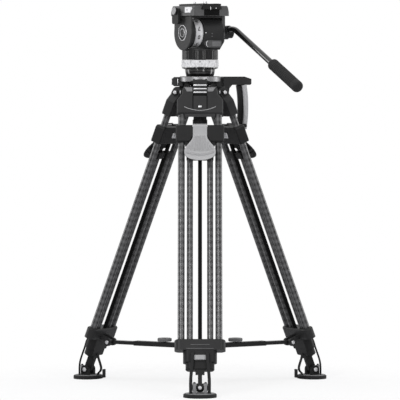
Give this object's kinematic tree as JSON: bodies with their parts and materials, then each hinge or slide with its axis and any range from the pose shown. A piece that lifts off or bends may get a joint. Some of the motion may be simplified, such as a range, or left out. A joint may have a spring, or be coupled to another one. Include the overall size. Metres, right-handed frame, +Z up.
{
  "type": "video tripod with fluid head",
  "caption": "Video tripod with twin-tube legs, telescoping ground spreader, levelling bowl, fluid head, sliding camera plate and pan bar.",
  "frame": {"origin": "centre of the footprint's bounding box, on the floor", "axes": "+Z up; the front leg and the operator's side of the head face -Y; the tripod's upright axis stands at +Y 80.8 mm"},
  "size_m": [0.6462, 0.5708, 0.958],
  "materials": {
    "black_casting": "satin",
    "grey_casting": "satin",
    "black_gloss": "gloss",
    "black_anodised": "satin",
    "steel": "satin",
    "silver": "satin",
    "black_plastic": "matte",
    "grey_plastic": "matte",
    "light_grey": "satin",
    "white_plastic": "gloss",
    "rubber": "matte",
    "carbon": "gloss"
  },
  "bodies": {
    "crown": {"crown": "black_casting", "leg_hinge_bolts": "steel"},
    "leg_front": {"shoulder_front": "black_casting", "upper_tubes_front": "carbon", "lever_housing_front": "black_casting", "brake_block_front": "black_casting"},
    "lower_front": {"lower_tubes_front": "carbon", "foot_block_front": "black_casting"},
    "foot_front": {"foot_pad_front": "rubber"},
    "lever_front": {"release_lever_front": "light_grey"},
    "inner_arm_front": {"spreader_inner_arm_front": "black_anodised"},
    "outer_arm_front": {"spreader_outer_arm_front": "black_plastic"},
    "arm_knob_front": {"spreader_knob_front": "grey_plastic"},
    "leg_right": {"shoulder_right": "black_casting", "upper_tubes_right": "carbon", "lever_housing_right": "black_casting", "brake_block_right": "black_casting", "handle_bracket": "black_casting", "carry_handle": "rubber"},
    "lower_right": {"lower_tubes_right": "carbon", "foot_block_right": "black_casting"},
    "foot_right": {"foot_pad_right": "rubber"},
    "lever_right": {"release_lever_right": "light_grey"},
    "inner_arm_right": {"spreader_inner_arm_right": "black_anodised"},
    "outer_arm_right": {"spreader_outer_arm_right": "black_plastic"},
    "arm_knob_right": {"spreader_knob_right": "grey_plastic"},
    "leg_left": {"shoulder_left": "black_casting", "upper_tubes_left": "carbon", "lever_housing_left": "black_casting", "brake_block_left": "black_casting"},
    "lower_left": {"lower_tubes_left": "carbon", "foot_block_left": "black_casting"},
    "foot_left": {"foot_pad_left": "rubber"},
    "lever_left": {"release_lever_left": "light_grey"},
    "inner_arm_left": {"spreader_inner_arm_left": "black_anodised"},
    "outer_arm_left": {"spreader_outer_arm_left": "black_plastic"},
    "arm_knob_left": {"spreader_knob_left": "grey_plastic"},
    "hub": {"spreader_hub": "black_plastic"},
    "levelling_cup": {"clamp_cup": "black_casting"},
    "levelling_ball": {"half_ball": "black_gloss", "centre_stud": "steel"},
    "tie_down": {"tie_down_knob": "black_plastic"},
    "pan_ring": {"pan_drag_ring": "silver"},
    "head": {"head_housing": "grey_casting"},
    "tilt_dial": {"tilt_drag_dial": "silver"},
    "cradle": {"tilt_platform": "grey_casting", "left_cheek": "black_casting", "tilt_axle": "steel"},
    "plate": {"camera_plate": "black_anodised"},
    "screw_large": {"camera_screw_large": "steel"},
    "screw_small": {"camera_screw_small": "steel"},
    "plate_lock": {"plate_lock_lever": "black_plastic"},
    "button": {"release_button": "white_plastic"},
    "brake": {"brake_lever": "grey_plastic"},
    "bar": {"pan_bar_clamp": "black_casting", "pan_bar": "black_gloss", "pan_bar_grip": "rubber"},
    "bar_knob": {"bar_clamp_knob": "black_plastic"}
  },
  "joints": [
    {"name": "leg_front_fold", "type": "hinge", "parent": "crown", "child": "leg_front", "pos_m": [0, 0.03684, 0.732], "axis": [1, 0, 0], "range_deg": [0, 15.8]},
    {"name": "leg_front_extend", "type": "slide", "parent": "leg_front", "child": "lower_front", "axis": [0, -0.3746, -0.9272], "range_m": [0, 0.44]},
    {"name": "foot_front_swivel", "type": "hinge", "parent": "lower_front", "child": "foot_front", "pos_m": [0, -0.24936, 0.02363], "axis": [1, 0, 0], "range_deg": [-20, 20]},
    {"name": "lever_front_release", "type": "hinge", "parent": "leg_front", "child": "lever_front", "pos_m": [0, -0.00953, 0.64126], "axis": [-1, 0, 0], "range_deg": [0, 25], "stiffness_Nm_per_rad": 1.2, "springref_deg": -11.46},
    {"name": "spreader_front_swing", "type": "hinge", "parent": "leg_front", "child": "inner_arm_front", "pos_m": [0, -0.18237, 0.09601], "axis": [1, 0, 0], "range_deg": [0, 59.55]},
    {"name": "spreader_front_slide", "type": "slide", "parent": "inner_arm_front", "child": "outer_arm_front", "axis": [0, -1, 0], "range_m": [0, 0.064]},
    {"name": "spreader_front_knob_turn", "type": "hinge", "parent": "outer_arm_front", "child": "arm_knob_front", "pos_m": [0, -0.02216, 0.10401], "axis": [0, 0, 1], "continuous": true},
    {"name": "leg_right_fold", "type": "hinge", "parent": "crown", "child": "leg_right", "pos_m": [0.03811, 0.10284, 0.732], "axis": [-0.5, 0.866, 0], "range_deg": [0, 15.8]},
    {"name": "leg_right_extend", "type": "slide", "parent": "leg_right", "child": "lower_right", "axis": [0.3244, 0.1873, -0.9272], "range_m": [0, 0.44]},
    {"name": "foot_right_swivel", "type": "hinge", "parent": "lower_right", "child": "foot_right", "pos_m": [0.28596, 0.24594, 0.02363], "axis": [-0.5, 0.866, 0], "range_deg": [-20, 20]},
    {"name": "lever_right_release", "type": "hinge", "parent": "leg_right", "child": "lever_right", "pos_m": [0.07826, 0.12602, 0.64126], "axis": [0.5, -0.866, 0], "range_deg": [0, 25], "stiffness_Nm_per_rad": 1.2, "springref_deg": -11.46},
    {"name": "spreader_right_swing", "type": "hinge", "parent": "leg_right", "child": "inner_arm_right", "pos_m": [0.22795, 0.21244, 0.09601], "axis": [-0.5, 0.866, 0], "range_deg": [0, 59.55]},
    {"name": "spreader_right_slide", "type": "slide", "parent": "inner_arm_right", "child": "outer_arm_right", "axis": [0.866, 0.5, 0], "range_m": [0, 0.064]},
    {"name": "spreader_right_knob_turn", "type": "hinge", "parent": "outer_arm_right", "child": "arm_knob_right", "pos_m": [0.0892, 0.13234, 0.10401], "axis": [0, 0, 1], "continuous": true},
    {"name": "leg_left_fold", "type": "hinge", "parent": "crown", "child": "leg_left", "pos_m": [-0.03811, 0.10284, 0.732], "axis": [-0.5, -0.866, 0], "range_deg": [0, 15.8]},
    {"name": "leg_left_extend", "type": "slide", "parent": "leg_left", "child": "lower_left", "axis": [-0.3244, 0.1873, -0.9272], "range_m": [0, 0.44]},
    {"name": "foot_left_swivel", "type": "hinge", "parent": "lower_left", "child": "foot_left", "pos_m": [-0.28596, 0.24594, 0.02363], "axis": [-0.5, -0.866, 0], "range_deg": [-20, 20]},
    {"name": "lever_left_release", "type": "hinge", "parent": "leg_left", "child": "lever_left", "pos_m": [-0.07826, 0.12602, 0.64126], "axis": [0.5, 0.866, 0], "range_deg": [0, 25], "stiffness_Nm_per_rad": 1.2, "springref_deg": -11.46},
    {"name": "spreader_left_swing", "type": "hinge", "parent": "leg_left", "child": "inner_arm_left", "pos_m": [-0.22795, 0.21244, 0.09601], "axis": [-0.5, -0.866, 0], "range_deg": [0, 59.55]},
    {"name": "spreader_left_slide", "type": "slide", "parent": "inner_arm_left", "child": "outer_arm_left", "axis": [-0.866, 0.5, 0], "range_m": [0, 0.064]},
    {"name": "spreader_left_knob_turn", "type": "hinge", "parent": "outer_arm_left", "child": "arm_knob_left", "pos_m": [-0.0892, 0.13234, 0.10401], "axis": [0, 0, 1], "continuous": true},
    {"name": "spreader_hub_rise", "type": "slide", "parent": "crown", "child": "hub", "axis": [0, 0, 1], "range_m": [0, 0.11644]},
    {"name": "level_across", "type": "hinge", "parent": "crown", "child": "levelling_cup", "pos_m": [0, 0.08084, 0.788], "axis": [0.7071, -0.7071, 0], "range_deg": [-8, 8]},
    {"name": "level_along", "type": "hinge", "parent": "levelling_cup", "child": "levelling_ball", "pos_m": [0, 0.08084, 0.788], "axis": [0.7071, 0.7071, 0], "range_deg": [-8, 8]},
    {"name": "tie_down_turn", "type": "hinge", "parent": "levelling_ball", "child": "tie_down", "pos_m": [0, 0.08084, 0.65], "axis": [0, 0, 1], "continuous": true},
    {"name": "pan_drag_setting", "type": "hinge", "parent": "levelling_ball", "child": "pan_ring", "pos_m": [0, 0.08084, 0.7952], "axis": [0, 0, 1], "range_deg": [0, 210]},
    {"name": "pan", "type": "hinge", "parent": "levelling_ball", "child": "head", "pos_m": [0, 0.08084, 0.813], "axis": [0, 0, 1], "continuous": true},
    {"name": "tilt", "type": "hinge", "parent": "head", "child": "cradle", "pos_m": [0, 0.08084, 0.88], "axis": [0.866, 0.5, 0], "range_deg": [-60, 40]},
    {"name": "tilt_drag_setting", "type": "hinge", "parent": "head", "child": "tilt_dial", "pos_m": [0, 0.08084, 0.88], "axis": [0.866, 0.5, 0], "range_deg": [0, 210]},
    {"name": "plate_slide", "type": "slide", "parent": "cradle", "child": "plate", "axis": [-0.5, 0.866, 0], "range_m": [-0.03, 0.03]},
    {"name": "screw_large_turn", "type": "hinge", "parent": "plate", "child": "screw_large", "pos_m": [0.013, 0.05832, 0.952], "axis": [0, 0, 1], "continuous": true},
    {"name": "screw_small_turn", "type": "hinge", "parent": "plate", "child": "screw_small", "pos_m": [-0.013, 0.10335, 0.952], "axis": [0, 0, 1], "continuous": true},
    {"name": "plate_lock_turn", "type": "hinge", "parent": "cradle", "child": "plate_lock", "pos_m": [-0.0581, 0.06346, 0.934], "axis": [0.866, 0.5, 0], "range_deg": [0, 55]},
    {"name": "button_press", "type": "slide", "parent": "cradle", "child": "button", "axis": [0.866, 0.5, 0], "range_m": [0, 0.0025], "stiffness_N_per_m": 400, "springref_m": -0.002},
    {"name": "tilt_brake_turn", "type": "hinge", "parent": "head", "child": "brake", "pos_m": [0.0179, 0.04383, 0.8525], "axis": [0.5, -0.866, 0], "range_deg": [0, 40]},
    {"name": "bar_angle", "type": "hinge", "parent": "cradle", "child": "bar", "pos_m": [0, 0.08084, 0.88], "axis": [-0.866, -0.5, 0], "range_deg": [-20, 25]},
    {"name": "bar_knob_turn", "type": "hinge", "parent": "bar", "child": "bar_knob", "pos_m": [0.0679, 0.12004, 0.88], "axis": [0.866, 0.5, 0], "continuous": true}
  ],
  "couplings": [
    {"joint": "spreader_front_swing", "follows": "leg_front_fold", "ratio": 3.769},
    {"joint": "spreader_front_slide", "follows": "leg_front_fold", "m_per_rad": 0.23208},
    {"joint": "leg_right_fold", "follows": "leg_front_fold", "ratio": 1},
    {"joint": "spreader_right_swing", "follows": "leg_front_fold", "ratio": 3.769},
    {"joint": "spreader_right_slide", "follows": "leg_front_fold", "m_per_rad": 0.23208},
    {"joint": "leg_left_fold", "follows": "leg_front_fold", "ratio": 1},
    {"joint": "spreader_left_swing", "follows": "leg_front_fold", "ratio": 3.769},
    {"joint": "spreader_left_slide", "follows": "leg_front_fold", "m_per_rad": 0.23208},
    {"joint": "spreader_hub_rise", "follows": "leg_front_fold", "m_per_rad": 0.42225}
  ]
}
